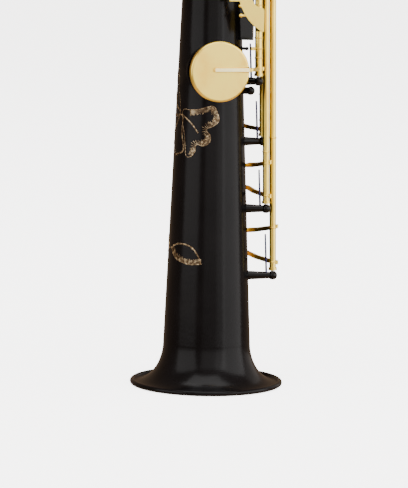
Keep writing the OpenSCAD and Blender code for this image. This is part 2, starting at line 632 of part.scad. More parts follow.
module gsharp_key() color(gold) on_hinge(GSHARP, above(GSHARP_POSTS[0]), below(GSHARP_POSTS[1])) {
    cup_and_arms(H_GSHARP, GSHARP, [386]);
    strap([flat(line_at(GSHARP, 386)), [6, -22], [18, -22]], 386, 2.4, 4);
    touch_front(10, 30, 379, 393, -23.4);
}
module gsharp_pad() color("saddlebrown") pad(H_GSHARP);

thin_tube_r = 1.8;
// Palm, side and octave keys carry their small pads; their touches are raised plates.
module small_key(h, l, ends, touch, gap, phi_t) color(gold) {
    on_hinge(l, above(ends[0]), below(ends[1]), thin_tube_r) {
        cup_and_arms(h, l, [h[0]], 2, 2.6);
        strap([flat(line_at(l, touch)), flat(polar(tube_at(touch) + gap + 0.8, phi_t, touch))], touch, 2.4, 4);
        touch_side(touch, phi_t, gap, 18, 8);
    }
    pad(h);
}
module palm_d_key() small_key(H_PALM_D, PALM_D, PALM_D_POSTS, 462, 11, 106);
module palm_eflat_key() small_key(H_PALM_EFLAT, PALM_EFLAT, PALM_EFLAT_POSTS, 488, 11, 128);
module palm_f_key() small_key(H_PALM_F, PALM_F, PALM_F_POSTS, 516, 11, 150);
module side_bflat_key() small_key(H_SIDE_BFLAT, SIDE_BFLAT, SIDE_BFLAT_POSTS, 382, 11, -132);
module side_c_key() small_key(H_SIDE_C, SIDE_C, SIDE_C_POSTS, 404, 11, -150);
module side_e_key() small_key(H_SIDE_E, SIDE_E, SIDE_E_POSTS, 430, 12, -132);

// A vent key: a small round cup on an octave pip.
module vent_cup(p, l) {
    top = tube_at(p[0]) + chimney_h + pad_gap;
    seat(p[0], p[1]) translate([0, 0, top]) cylinder(h = 4.2, r = 3.6, $fn = 32);
    strap([flat(polar(top + 3.4, p[1], p[0])), flat(line_at(l, p[0]))], p[0], 2, 2.4);
}
module octave_key() color(gold)
    on_hinge(OCTAVE, above(OCTAVE_POSTS[0]), below(OCTAVE_POSTS[1]), thin_tube_r) {
    vent_cup(PIP_UPPER, OCTAVE);
    strap([flat(line_at(OCTAVE, 424)), flat(polar(tube_at(424) + 8.5, 170, 424))], 424, 2.4, 4);
    touch_side(424, 168, 7.8, 14, 9);
}
module lower_vent_key() color(gold)
    on_hinge(VENT, above(VENT_POSTS[0]), below(VENT_POSTS[1]), thin_tube_r) vent_cup(PIP_LOWER, VENT);

bell();
body_tube();
posts();
hinge_rods();
needle_springs();
neck_receiver();
clamp_screw();
thumb_hook();
thumb_hook_screw();
thumb_rest();
strap_ring();
neck_tube();
neck_cork();
mouthpiece();
reed();
ligature();
ligature_screws();
low_bflat_key();
low_bflat_pad();
low_b_key();
low_b_pad();
low_csharp_key();
low_csharp_pad();
low_c_key();
low_c_pad();
pinky_roller();
eflat_key();
eflat_pad();
d_key();
d_pad();
d_pearl();
e_key();
e_pad();
e_pearl();
f_key();
f_pad();
f_pearl();
fsharp_key();
fsharp_pad();
gsharp_key();
gsharp_pad();
g_key();
g_pad();
g_pearl();
a_key();
a_pad();
a_pearl();
b_key();
b_pad();
b_pearl();
palm_d_key();
palm_eflat_key();
palm_f_key();
side_bflat_key();
side_c_key();
side_e_key();
octave_key();
lower_vent_key();
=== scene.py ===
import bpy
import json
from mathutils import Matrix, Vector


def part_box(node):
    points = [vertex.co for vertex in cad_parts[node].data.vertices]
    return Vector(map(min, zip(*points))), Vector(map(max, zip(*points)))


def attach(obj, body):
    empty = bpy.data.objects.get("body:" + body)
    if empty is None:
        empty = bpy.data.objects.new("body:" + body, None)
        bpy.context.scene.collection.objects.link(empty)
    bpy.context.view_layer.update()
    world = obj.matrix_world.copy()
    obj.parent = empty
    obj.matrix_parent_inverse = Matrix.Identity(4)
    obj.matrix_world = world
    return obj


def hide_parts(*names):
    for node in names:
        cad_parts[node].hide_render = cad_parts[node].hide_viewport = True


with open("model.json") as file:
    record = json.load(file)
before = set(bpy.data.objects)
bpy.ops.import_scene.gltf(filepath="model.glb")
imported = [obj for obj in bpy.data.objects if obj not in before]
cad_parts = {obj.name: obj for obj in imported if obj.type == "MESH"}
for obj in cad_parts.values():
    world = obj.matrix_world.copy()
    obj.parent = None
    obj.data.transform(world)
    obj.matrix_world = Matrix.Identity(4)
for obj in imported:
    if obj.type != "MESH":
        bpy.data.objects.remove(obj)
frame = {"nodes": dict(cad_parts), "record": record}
"""Soprano saxophone: the finishes, the engraved foliage and the fine parts.

They are built around the CAD frame, which is left as it is.
"""

import json
import logging
import math
from dataclasses import dataclass, field
from enum import Enum

import bmesh
import bpy
import numpy as np
from mathutils import Matrix, Vector

LOG = logging.getLogger("soprano")
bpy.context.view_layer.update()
MM = 0.001
# A radius below this, in metres, is a point on the axis.
ON_AXIS = 1e-7
Colour = tuple[float, float, float]
Point = tuple[float, float]


# ---------------------------------------------------------------- shader maths

class Value:
    """A socket in a shader tree that takes part in Python expressions."""

    def __init__(self, graph: "Graph", socket: bpy.types.NodeSocket) -> None:
        """Wraps one output socket of the graph."""
        self.graph = graph
        self.socket = socket

    def _math(self, operation: str, a: object, b: object) -> "Value":
        """Adds a Math node for a op b.

        Args:
            operation: The node's operation.
            a: The first number or socket.
            b: The second number or socket.

        Returns:
            The wrapped result.
        """
        return self.graph.add("ShaderNodeMath", {"operation": operation}, {0: a, 1: b})

    def __add__(self, other: object) -> "Value":
        """self + other."""
        return self._math("ADD", self, other)

    def __radd__(self, other: object) -> "Value":
        """other + self."""
        return self._math("ADD", other, self)

    def __mul__(self, other: object) -> "Value":
        """self * other."""
        return self._math("MULTIPLY", self, other)

    def __rmul__(self, other: object) -> "Value":
        """other * self."""
        return self._math("MULTIPLY", other, self)



class Graph:
    """A material's node tree."""

    def __init__(self, name: str) -> None:
        """Makes an empty material with a Principled BSDF.

        Args:
            name: The material's name.
        """
        self.material = bpy.data.materials.new(name)
        self.material.use_nodes = True
        self.tree = self.material.node_tree
        self.surface = next(n for n in self.tree.nodes if n.type == "BSDF_PRINCIPLED")

    def add(self, kind: str, settings: dict | None = None, inputs: dict | None = None,
            output: int | str = 0) -> Value:
        """Adds any node.

        Args:
            kind: The node's type.
            settings: Its properties, set first; "stops" are a ramp's (place, colour) pairs.
            inputs: Values or links for its sockets, by name or number.
            output: The socket that is returned.

        Returns:
            The wrapped output.
        """
        node = self.tree.nodes.new(kind)
        for key, value in (settings or {}).items():
            if key == "stops":
                elements = node.color_ramp.elements
                while len(elements) < len(value):
                    elements.new(0.5)
                for element, (place, colour) in zip(elements, value):
                    element.position = place
                    element.color = (*colour, 1.0)
            else:
                setattr(node, key, value)
        for key, value in (inputs or {}).items():
            self.put(node.inputs[key], value)
        return Value(self, node.outputs[output])

    def put(self, socket: bpy.types.NodeSocket, value: object) -> None:
        """Links a wrapped output to a socket, or sets its value."""
        if isinstance(value, Value):
            self.tree.links.new(value.socket, socket)
        else:
            socket.default_value = value

    def set(self, **sockets: object) -> None:
        """Sets or links sockets of the Principled BSDF, with _ for a space in a name."""
        for key, value in sockets.items():
            self.put(self.surface.inputs[key.replace("_", " ")], value)

    def place(self) -> Value:
        """Object coordinates."""
        return self.add("ShaderNodeTexCoord", output="Object")

    def stretched(self, scale: tuple[float, float, float]) -> Value:
        """Object coordinates scaled along each axis."""
        return self.add("ShaderNodeMapping", None, {"Vector": self.place(), "Scale": scale})

    def noise(self, scale: float, detail: float = 3.0, at: Value | None = None) -> Value:
        """A noise value in 0 to 1.

        Args:
            scale: Cycles per metre.
            detail: Octaves.
            at: The place it is read at; the object's own coordinates if left out.

        Returns:
            The value.
        """
        return self.add("ShaderNodeTexNoise", None,
                        {"Vector": at or self.place(), "Scale": scale, "Detail": detail})

    def ramp(self, value: Value, *stops: tuple[float, tuple[float, float, float]]) -> Value:
        """A colour ramp over a value."""
        return self.add("ShaderNodeValToRGB", {"stops": stops}, {"Fac": value})

    def bump(self, height: Value, strength: float, distance: float) -> Value:
        """A bump normal from a height.

        Args:
            height: The height value.
            strength: How much of it shows.
            distance: Its depth in metres.

        Returns:
            The normal.
        """
        return self.add("ShaderNodeBump", None,
                        {"Height": height, "Strength": strength, "Distance": distance}, "Normal")


@dataclass(frozen=True)
class Finish:
    """A surface finish; a subclass paints its own detail."""

    name: str
    colour: Colour
    roughness: float = 0.3
    metallic: float = 0.0
    coat: float = 0.0
    specular: float = 0.5

    def paint(self, graph: Graph) -> None:
        """Adds the detail of the finish to the graph."""

    def lighter(self, factor: float) -> Colour:
        """The colour times a factor, no brighter than full."""
        return tuple(min(1.0, c * factor) for c in self.colour)

    def material(self) -> bpy.types.Material:
        """Builds the material once and returns it."""
        made = bpy.data.materials.get(self.name)
        if made:
            return made
        graph = Graph(self.name)
        graph.set(Base_Color=(*self.colour, 1.0), Roughness=self.roughness, Metallic=self.metallic,
                  Coat_Weight=self.coat, Coat_Roughness=0.04, Specular_IOR_Level=self.specular)
        self.paint(graph)
        return graph.material


@dataclass(frozen=True)
class BlackLacquer(Finish):
    """Gloss black lacquer over brass, with a faint orange peel and dust."""

    peel: float = 420.0

    def paint(self, graph: Graph) -> None:
        """Varies gloss and height very slightly."""
        cloud = graph.noise(38.0, 4.0)
        graph.set(Base_Color=graph.ramp(cloud, (0.35, self.colour),
                                        (0.75, self.lighter(1.7))),
                  Roughness=self.roughness + 0.08 * cloud,
                  Normal=graph.bump(graph.noise(self.peel, 2.0), 0.08, 0.0004))


@dataclass(frozen=True)
class GoldLacquer(Finish):
    """Polished brass under pale lacquer, with warm drifts, fine polishing lines and pits."""

    deep: Colour = (0.92, 0.60, 0.09)
    line_scale: float = 5200.0

    def paint(self, graph: Graph) -> None:
        """Mixes the pale and the deep tone and draws the polishing lines."""
        drift = graph.noise(70.0, 5.0)
        spots = graph.noise(900.0, 2.0)
        lines = graph.noise(self.line_scale, 2.0, graph.stretched((1.0, 1.0, 0.06)))
        graph.set(Base_Color=graph.ramp(drift, (0.25, self.deep), (0.5, self.colour),
                                        (0.8, self.lighter(1.06))),
                  Roughness=self.roughness + 0.10 * drift + 0.06 * spots,
                  Normal=graph.bump(lines, 0.10, 0.00006))


@dataclass(frozen=True)
class TurnedSteel(Finish):
    """Ground or blued steel with marks round the axis."""

    tint: Colour = (0.3, 0.3, 0.3)

    def paint(self, graph: Graph) -> None:
        """Draws turning marks that repeat along the length."""
        marks = graph.noise(3000.0, 2.0, graph.stretched((0.1, 0.1, 1.0)))
        graph.set(Base_Color=graph.ramp(graph.noise(160.0), (0.35, self.colour), (0.7, self.tint)),
                  Roughness=self.roughness + 0.15 * marks, Normal=graph.bump(marks, 0.15, 0.00005))


@dataclass(frozen=True)
class Leather(Finish):
    """Kid leather with a fine grain."""

    def paint(self, graph: Graph) -> None:
        """Adds grain cells and a worn tone."""
        cells = graph.add("ShaderNodeTexVoronoi", {"feature": "DISTANCE_TO_EDGE"},
                          {"Vector": graph.place(), "Scale": 1500.0}, "Distance")
        graph.set(Base_Color=graph.ramp(graph.noise(220.0, 5.0), (0.3, self.colour),
                                        (0.75, self.lighter(1.6))),
                  Normal=graph.bump(cells + 0.3 * graph.noise(2600.0), 0.5, 0.0002))


@dataclass(frozen=True)
class Cork(Finish):
    """Sanded sheet cork with dark lenticels."""

    def paint(self, graph: Graph) -> None:
        """Scatters lenticels over a granular ground."""
        grain = graph.add("ShaderNodeTexVoronoi", {"feature": "F1"},
                          {"Vector": graph.stretched((1.0, 1.0, 0.6)), "Scale": 900.0}, "Distance")
        blots = graph.noise(420.0, 6.0, graph.stretched((1.0, 1.0, 2.2)))
        graph.set(Base_Color=graph.ramp(blots + 0.25 * grain, (0.40, (0.20, 0.10, 0.045)),
                                        (0.52, self.colour), (0.8, self.lighter(1.25))),
                  Normal=graph.bump(grain + blots, 0.6, 0.0003))


@dataclass(frozen=True)
class Cane(Finish):
    """Cut cane with long fibres."""

    def paint(self, graph: Graph) -> None:
        """Draws fibres along the length."""
        fibre = graph.noise(2200.0, 4.0, graph.stretched((1.0, 1.0, 0.03)))
        graph.set(Base_Color=graph.ramp(fibre, (0.3, self.lighter(0.62)),
                                        (0.6, self.colour)),
                  Normal=graph.bump(fibre, 0.4, 0.0001))


@dataclass(frozen=True)
class Pearl(Finish):
    """Mother-of-pearl with soft bands of pink and green."""

    def paint(self, graph: Graph) -> None:
        """Bends layered bands with noise."""
        warp = graph.noise(160.0, 4.0)
        bands = graph.add("ShaderNodeTexWave", {"bands_direction": "DIAGONAL"},
                          {"Vector": graph.place(), "Scale": 90.0, "Distortion": 9.0,
                           "Detail": 3.0}, 1)
        graph.set(Base_Color=graph.ramp(bands * 0.6 + warp * 0.4, (0.25, (0.80, 0.86, 0.82)),
                                        (0.5, self.colour), (0.75, (0.93, 0.83, 0.82))))


@dataclass(frozen=True)
class Moulded(Finish):
    """Hard rubber or moulded plastic with a fine satin grain."""

    def paint(self, graph: Graph) -> None:
        """Adds faint scuffs and grain."""
        scuff = graph.noise(260.0, 6.0)
        graph.set(Roughness=self.roughness + 0.14 * scuff,
                  Base_Color=graph.ramp(scuff, (0.4, self.colour), (0.8, self.lighter(1.8))),
                  Normal=graph.bump(graph.noise(3200.0, 2.0), 0.12, 0.00008))


@dataclass(frozen=True)
class Cut(Finish):
    """Metal laid bare by a graver: gold-brown, mottled darker with noise and flecked with pale
    painted highlight.
    """

    def paint(self, graph: Graph) -> None:
        """Varies the tone with noise, from dark brown up to pale spots of painted highlight."""
        tone = graph.noise(700.0, 3.0)
        # The last stop, (1.0, 0.82, 0.52), is painted highlight: glints on the cut metal.
        graph.set(Base_Color=graph.ramp(tone, (0.3, (0.10, 0.055, 0.025)), (0.5, self.colour),
                                        (0.68, (1.0, 0.82, 0.52))),
                  Roughness=0.28 + 0.3 * tone)


class Looks(Enum):
    """Every finish of the instrument."""

    BODY = BlackLacquer("black lacquer", (0.0040, 0.0037, 0.0042), 0.17, 0.0, 0.0, 0.11)
    POST = BlackLacquer("post lacquer", (0.0025, 0.0023, 0.0025), 0.09, 0.0, 0.0, 0.20, 900.0)
    GOLD = GoldLacquer("champagne gold", (1.0, 0.75, 0.14), 0.25, 1.0)
    SCREW = GoldLacquer("turned brass", (0.95, 0.64, 0.17), 0.2, 1.0, 0.0, 0.5, (0.60, 0.34, 0.08))
    ROD = TurnedSteel("ground steel", (0.50, 0.50, 0.51), 0.25, 1.0, 0.0, 0.5, (0.66, 0.66, 0.67))
    BLUED = TurnedSteel("blued steel", (0.025, 0.035, 0.10), 0.24, 1.0, 0.0, 0.5,
                        (0.07, 0.06, 0.16))
    PAD = Leather("kid leather", (0.20, 0.10, 0.05), 0.6)
    CORK = Cork("sheet cork", (0.55, 0.36, 0.19), 0.85)
    CANE = Cane("cut cane", (0.78, 0.62, 0.33), 0.55)
    PEARL = Pearl("mother of pearl", (0.90, 0.88, 0.83), 0.16, 0.0, 0.7)
    RUBBER = Moulded("hard rubber", (0.012, 0.012, 0.012), 0.22, 0.0, 0.3)
    PLASTIC = Moulded("black plastic", (0.015, 0.015, 0.015), 0.34)
    CUT = Cut("engraver's cut", (0.27, 0.19, 0.105), 0.35, 0.8)
    # A paler gold than the cup's, worn by the spine's ridge: painted highlight.
    PAINTED_HIGHLIGHT_RIDGE = GoldLacquer("painted highlight ridge", (1.0, 0.86, 0.45), 0.14, 1.0, 0.0, 0.5, (1.0, 0.78, 0.34))

    @property
    def material(self) -> bpy.types.Material:
        """The finish's material."""
        return self.value.material()


SLOT_LOOKS = {
    "body_lacquer": Looks.BODY, "post_lacquer": Looks.POST, "gold_lacquer": Looks.GOLD,
    "screw_brass": Looks.SCREW, "hinge_steel": Looks.ROD, "spring_steel": Looks.BLUED,
    "pad_leather": Looks.PAD, "pearl": Looks.PEARL, "black_plastic": Looks.PLASTIC,
    "cork": Looks.CORK, "ebonite": Looks.RUBBER, "cane": Looks.CANE,
}


# ---------------------------------------------------------------- mesh helpers

def new_piece(name: str, mesh: bpy.types.Mesh, look: Looks,
              smooth: bool = True) -> bpy.types.Object:
    """Makes an object from a mesh with one finish.

    Args:
        name: The piece's name.
        mesh: Its mesh, in place.
        look: Its finish.
        smooth: Whether its faces are shaded smooth.

    Returns:
        The linked object.
    """
    mesh.materials.clear()
    mesh.materials.append(look.material)
    mesh.polygons.foreach_set("use_smooth", [smooth] * len(mesh.polygons))
    piece = bpy.data.objects.new(name, mesh)
    bpy.context.scene.collection.objects.link(piece)
    return piece


def keep(piece: bpy.types.Object, body: str) -> bpy.types.Object:
    """Rides a finished piece on its body and reports it.

    Args:
        piece: The piece.
        body: The body that carries it.

    Returns:
        The piece.
    """
    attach(piece, body)
    LOG.info("%s rides on %s with %d faces", piece.name, body, len(piece.data.polygons))
    return piece


def lathe(outline: list[tuple[float, float]], steps: int, place: Matrix) -> bmesh.types.BMesh:
    """Turns an outline of (radius, height) points round the local z.

    Args:
        outline: Points from the axis at the bottom round to the axis at the top, in metres.
        steps: Faces round the turn.
        place: Where the local frame goes.

    Returns:
        The closed solid.
    """
    solid = bmesh.new()
    rings = []
    for radius, height in outline:
        if radius < ON_AXIS:
            rings.append([solid.verts.new(place @ Vector((0, 0, height)))])
            continue
        turn = [2 * math.pi * i / steps for i in range(steps)]
        rings.append([solid.verts.new(
            place @ Vector((radius * math.cos(a), radius * math.sin(a), height))) for a in turn])
    for low, high in zip(rings, rings[1:]):
        for i in range(steps):
            corners = [low[i % len(low)], low[(i + 1) % len(low)],
                       high[(i + 1) % len(high)], high[i % len(high)]]
            corners = [c for n, c in enumerate(corners) if c not in corners[:n]]
            if len(corners) > 2:
                solid.faces.new(corners)
    bmesh.ops.recalc_face_normals(solid, faces=solid.faces)
    return solid


def merged(name: str, solids: list[bmesh.types.BMesh]) -> bpy.types.Mesh:
    """Joins several solids in one mesh."""
    whole = bmesh.new()
    for solid in solids:
        part = bpy.data.meshes.new("part")
        solid.to_mesh(part)
        solid.free()
        whole.from_mesh(part)
        bpy.data.meshes.remove(part)
    mesh = bpy.data.meshes.new(name)
    whole.to_mesh(mesh)
    whole.free()
    return mesh


def disc_frame(node: str) -> tuple[Matrix, float, float]:
    """Finds where a round disc node lies.

    Args:
        node: A CAD node that is a plain disc.

    Returns:
        A matrix whose origin is the disc's middle and whose z points away from the tube's axis,
        the disc's radius and its thickness.
    """
    points = np.array([v.co for v in frame["nodes"][node].data.vertices])
    middle = (points.min(0) + points.max(0)) / 2
    _, vectors = np.linalg.eigh(np.cov((points - middle).T))
    normal = Vector(vectors[:, 0]).normalized()
    if normal.dot(Vector((middle[0], middle[1], 0))) < 0:
        normal.negate()
    across = Vector((0, 0, 1)).cross(normal).normalized()
    up = normal.cross(across)
    turn = Matrix((across, up, normal)).transposed().to_4x4()
    along = (points - middle) @ np.array(normal)
    flat = (points - middle) - np.outer(along, np.array(normal))
    radius = float(np.linalg.norm(flat, axis=1).max())
    return Matrix.Translation(Vector(middle)) @ turn, radius, float(along.max() - along.min())


# ---------------------------------------------------------------- geometry nodes

class Recipe:
    """A Geometry Nodes tree that is built, run once and made a plain mesh."""

    def __init__(self, name: str, sizes: dict[str, float]) -> None:
        """Makes the tree with its geometry sockets and named sizes.

        Args:
            name: The tree's name.
            sizes: Each named input and its value.
        """
        self.tree = bpy.data.node_groups.new(name, "GeometryNodeTree")
        face = self.tree.interface
        face.new_socket("Geometry", in_out="INPUT", socket_type="NodeSocketGeometry")
        face.new_socket("Geometry", in_out="OUTPUT", socket_type="NodeSocketGeometry")
        self.sizes = sizes
        self.identifiers = {
            key: face.new_socket(key, in_out="INPUT", socket_type="NodeSocketFloat").identifier
            for key in sizes}
        self.start = self.tree.nodes.new("NodeGroupInput")

    def add(self, kind: str, settings: dict | None = None, inputs: dict | None = None,
            output: int | str = 0) -> bpy.types.NodeSocket:
        """Adds a node, sets its properties, then fills its inputs.

        Args:
            kind: The node's type.
            settings: Its properties.
            inputs: Values or links for its sockets, by name or number.
            output: The socket that is returned.

        Returns:
            One output.
        """
        node = self.tree.nodes.new(kind)
        for key, value in (settings or {}).items():
            setattr(node, key, value)
        for key, value in (inputs or {}).items():
            if isinstance(value, bpy.types.NodeSocket):
                self.tree.links.new(value, node.inputs[key])
            else:
                node.inputs[key].default_value = value
        return node.outputs[output]

    def size(self, key: str) -> bpy.types.NodeSocket:
        """The socket of a named input."""
        return self.start.outputs[key]

    def math(self, operation: str, a: object, b: object = 0.0) -> bpy.types.NodeSocket:
        """Adds a Math node.

        Args:
            operation: The node's operation.
            a: The first number or socket.
            b: The second number or socket.

        Returns:
            Its result.
        """
        return self.add("ShaderNodeMath", {"operation": operation}, {0: a, 1: b})

    def vector(self, x: object = 0.0, y: object = 0.0, z: object = 0.0) -> bpy.types.NodeSocket:
        """Makes a vector from three numbers.

        Args:
            x: A number or socket.
            y: A number or socket.
            z: A number or socket.

        Returns:
            The vector.
        """
        return self.add("ShaderNodeCombineXYZ", None, {"X": x, "Y": y, "Z": z})

    def run(self, source: bpy.types.Object, geometry: bpy.types.NodeSocket,
            look: Looks) -> bpy.types.Mesh:
        """Ends the tree, runs it on an object and returns the result as a plain mesh.

        Args:
            source: The object that carries the modifier; it is removed afterwards.
            geometry: The last geometry socket.
            look: The finish that the tree sets.

        Returns:
            The result.
        """
        whole = self.add("GeometryNodeRealizeInstances", None, {0: geometry})
        painted = self.add("GeometryNodeSetMaterial", None,
                           {"Geometry": whole, "Material": look.material})
        end = self.tree.nodes.new("NodeGroupOutput")
        self.tree.links.new(painted, end.inputs[0])
        modifier = source.modifiers.new(self.tree.name, "NODES")
        modifier.node_group = self.tree
        for key, value in self.sizes.items():
            modifier[self.identifiers[key]] = value
        bpy.context.view_layer.update()
        evaluated = source.evaluated_get(bpy.context.evaluated_depsgraph_get())
        mesh = bpy.data.meshes.new_from_object(evaluated)
        bpy.data.objects.remove(source)
        return mesh


def flat_curve(name: str, stroke: list[Point]) -> bpy.types.Object:
    """Makes a smooth open curve object of one flat stroke.

    Args:
        name: The object's name.
        stroke: Its (x, y) points in metres.

    Returns:
        The linked object.
    """
    data = bpy.data.curves.new(name, "CURVE")
    data.dimensions = "3D"
    spline = data.splines.new("BEZIER")
    spline.bezier_points.add(len(stroke) - 1)
    for point, (x, y) in zip(spline.bezier_points, stroke):
        point.co = (x, y, 0)
        point.handle_left_type = point.handle_right_type = "AUTO"
    spline.resolution_u = 12
    piece = bpy.data.objects.new(name, data)
    bpy.context.scene.collection.objects.link(piece)
    return piece


# ---------------------------------------------------------------- the instrument

@dataclass
class Tube:
    """The outside of the conical tube, in the frame's own sizes."""

    knee_z: float = 234 * MM
    knee_r: float = 17.7 * MM
    lower_taper: float = 0.0415
    upper_taper: float = 0.02787

    def radius(self, z: float) -> float:
        """The outer radius at a height."""
        taper = self.lower_taper if z < self.knee_z else self.upper_taper
        return self.knee_r + taper * (self.knee_z - z)


@dataclass
class Foliage:
    """Leaves cut in the lacquer, drawn flat in millimetres and laid on the tube."""

    tube: Tube = field(default_factory=Tube)
    stem: Point = (-56.0, 165.5)
    line: float = 0.26
    hatch: float = 0.33
    spacing: float = 0.52
    proud: float = 0.10
    wide_bar: float = 3.5
    short_bar: float = 0.9
    border_lean: float = 0.42
    petal_turns: tuple[float, ...] = (0.0, -92.0, 180.0)
    petal: tuple[Point, ...] = (
        (2, 1.7), (7.5, 2), (13, 2.4), (18.5, 4), (22.3, 4.4), (24.6, 0.5), (25.4, -4),
        (22.3, -7.2), (18.3, -9.4), (20.4, -13), (19.8, -17.2), (16.2, -19), (12.4, -18.6),
        (11.6, -22.5), (9.4, -25.6), (6.4, -25.8), (5, -21), (3.8, -13), (1.4, -3.6))
    border_end: int = 15
    vein: tuple[Point, ...] = ((0.7, -0.8), (5, -3.2), (9.4, -6.6), (13.2, -11.4))
    leaf_top: tuple[Point, ...] = (
        (0, 0), (6, 3), (12, 3.4), (17.4, 1.8), (21.4, -2.6), (23.6, -8))
    leaf_low: tuple[Point, ...] = ((23.6, -8), (17, -8.6), (11, -7.6), (5, -5.4), (0, 0))
    # Each leaf is (turn in degrees, (angle round the tube in degrees, height in mm)).
    leaves: tuple[tuple[float, Point], ...] = ((0.0, (-66.0, 84.0)), (180.0, (-74.0, 84.0)))

    def lay(self, mesh: bpy.types.Mesh, middle: Point, turn: float) -> None:
        """Turns a flat mesh about its origin and wraps it round the tube.

        Args:
            mesh: The mesh, whose z is its height above the lacquer.
            middle: The angle round the tube in degrees and the height in mm of its origin.
            turn: How far the motif is turned in its own plane, in degrees.
        """
        c, s = math.cos(math.radians(turn)), math.sin(math.radians(turn))
        base = self.tube.radius(middle[1] * MM)
        for vertex in mesh.vertices:
            x, y, proud = vertex.co
            z = middle[1] * MM + s * x + c * y
            angle = math.radians(middle[0]) + (c * x - s * y) / base
            radius = self.tube.radius(z) + proud
            vertex.co = (radius * math.sin(angle), -radius * math.cos(angle), z)

    def bars(self, recipe: "Recipe", lean: float) -> bpy.types.NodeSocket:
        """Adds hatch bars across the strokes, each a little longer or shorter.

        Args:
            recipe: The tree to add them to.
            lean: Offset of the bars' middle from the line, in bar lengths.

        Returns:
            The bars' geometry.
        """
        points = recipe.tree.nodes.new("GeometryNodeCurveToPoints")
        points.mode = "LENGTH"
        recipe.tree.links.new(recipe.size("Geometry"), points.inputs["Curve"])
        recipe.tree.links.new(recipe.size("Spacing"), points.inputs["Length"])
        thick = recipe.math("MULTIPLY", recipe.size("Height"), 1.8)
        bar = recipe.add("GeometryNodeMeshCube", None, {
            "Size": recipe.vector(recipe.size("Bar length"), recipe.size("Bar width"), thick),
            "Vertices X": 4})
        shift = recipe.vector(recipe.math("MULTIPLY", recipe.size("Bar length"), lean))
        bar = recipe.add("GeometryNodeTransform", None, {"Geometry": bar, "Translation": shift})
        length = recipe.add("FunctionNodeRandomValue", {"data_type": "FLOAT"},
                            {2: 0.72, 3: 1.15, "Seed": 5}, 1)
        return recipe.add("GeometryNodeInstanceOnPoints", None, {
            "Points": points.outputs["Points"], "Instance": bar,
            "Rotation": points.outputs["Rotation"], "Scale": recipe.vector(length, 1.0, 1.0)})

    def stroke(self, name: str, points: tuple[Point, ...], bar: float,
               lean: float) -> bpy.types.Mesh:
        """Draws a stroke as a raised line with hatching that leans out from it.

        Args:
            name: The tree's name.
            points: The stroke, in millimetres.
            bar: Length of the hatch bars in millimetres, or 0 for none.
            lean: Offset of the bars' middle from the line, in bar lengths.

        Returns:
            The flat mesh.
        """
        source = flat_curve(name, [(x * MM, y * MM) for x, y in points])
        recipe = Recipe(name, {"Line width": self.line * MM, "Height": self.proud * MM,
                               "Bar length": bar * MM, "Bar width": self.hatch * MM,
                               "Spacing": self.spacing * MM})
        step = recipe.math("MULTIPLY", recipe.size("Spacing"), 0.8)
        path = recipe.add("GeometryNodeResampleCurve", {"mode": "LENGTH"},
                          {"Curve": recipe.size("Geometry"), "Length": step})
        section = recipe.add("GeometryNodeCurvePrimitiveQuadrilateral", None,
                             {"Width": recipe.size("Line width"),
                              "Height": recipe.math("MULTIPLY", recipe.size("Height"), 2.0)})
        geometry = recipe.add("GeometryNodeCurveToMesh", None,
                              {"Curve": path, "Profile Curve": section, "Fill Caps": True})
        if bar:
            placed = self.bars(recipe, lean)
            join = recipe.tree.nodes.new("GeometryNodeJoinGeometry")
            recipe.tree.links.new(geometry, join.inputs[0])
            recipe.tree.links.new(placed, join.inputs[0])
            geometry = join.outputs[0]
        return recipe.run(source, geometry, Looks.CUT)

    def cut(self, name: str, mesh: bpy.types.Mesh, middle: Point, turn: float) -> None:
        """Lays a flat mesh on the tube and keeps it as an engraved piece.

        Args:
            name: The piece's name.
            mesh: The flat mesh.
            middle: The angle round the tube in degrees and the height in mm of its origin.
            turn: How far the motif is turned in its own plane, in degrees.
        """
        self.lay(mesh, middle, turn)
        keep(new_piece(name, mesh, Looks.CUT, False), "body")

    def build(self) -> None:
        """Cuts the large flower on the left of the tube and the pointed leaf near the bell."""
        border = self.petal[1:self.border_end]
        edge = self.petal[self.border_end - 1:] + self.petal[:2]
        for number, turn in enumerate(self.petal_turns):
            wide = self.short_bar if number else self.wide_bar
            for part, stroke, bar, lean in (("border", border, wide, self.border_lean),
                                            ("edge", edge, 0.0, 0.0),
                                            ("vein", self.vein, self.short_bar, 0.0)):
                mesh = self.stroke(f"petal_{part}", stroke, bar, lean)
                self.cut(f"engraved_{part}_{number}", mesh, self.stem, turn)
        for number, (turn, middle) in enumerate(self.leaves):
            mesh = self.stroke("leaf_top", self.leaf_top, 1.0, 0.1)
            self.cut(f"engraved_leaf_top_{number}", mesh, middle, turn)
            mesh = self.stroke("leaf_low", self.leaf_low, 3.4, 0.45)
            self.cut(f"engraved_leaf_low_{number}", mesh, middle, turn)


@dataclass
class Pearls:
    """The six domed pearls that stand for the plain discs."""

    dome: float = 0.55 * MM
    shoulder: float = 0.6
    share: float = 0.99
    steps: int = 48
    keys: tuple[str, ...] = ("d", "e", "f", "g", "a", "b")

    def build(self) -> None:
        """Turns one domed pearl for each stack key that has one."""
        for key in self.keys:
            node = f"{key}_pearl"
            place, radius, thick = disc_frame(node)
            low, high = -thick / 2, thick / 2
            side, rise = radius * self.share, self.dome * self.shoulder
            outline = [(0, low), (side, low), (side, high - rise)]
            outline += [(side * math.cos(a), high - rise + rise * math.sin(a))
                        for a in (math.radians(15 * i) for i in range(1, 6))]
            outline.append((0, high))
            mesh = merged(f"pearl_{key}", [lathe(outline, self.steps, place)])
            piece = new_piece(f"pearl_{key}", mesh, Looks.PEARL)
            keep(piece, f"{key.upper()} key")
            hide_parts(node)


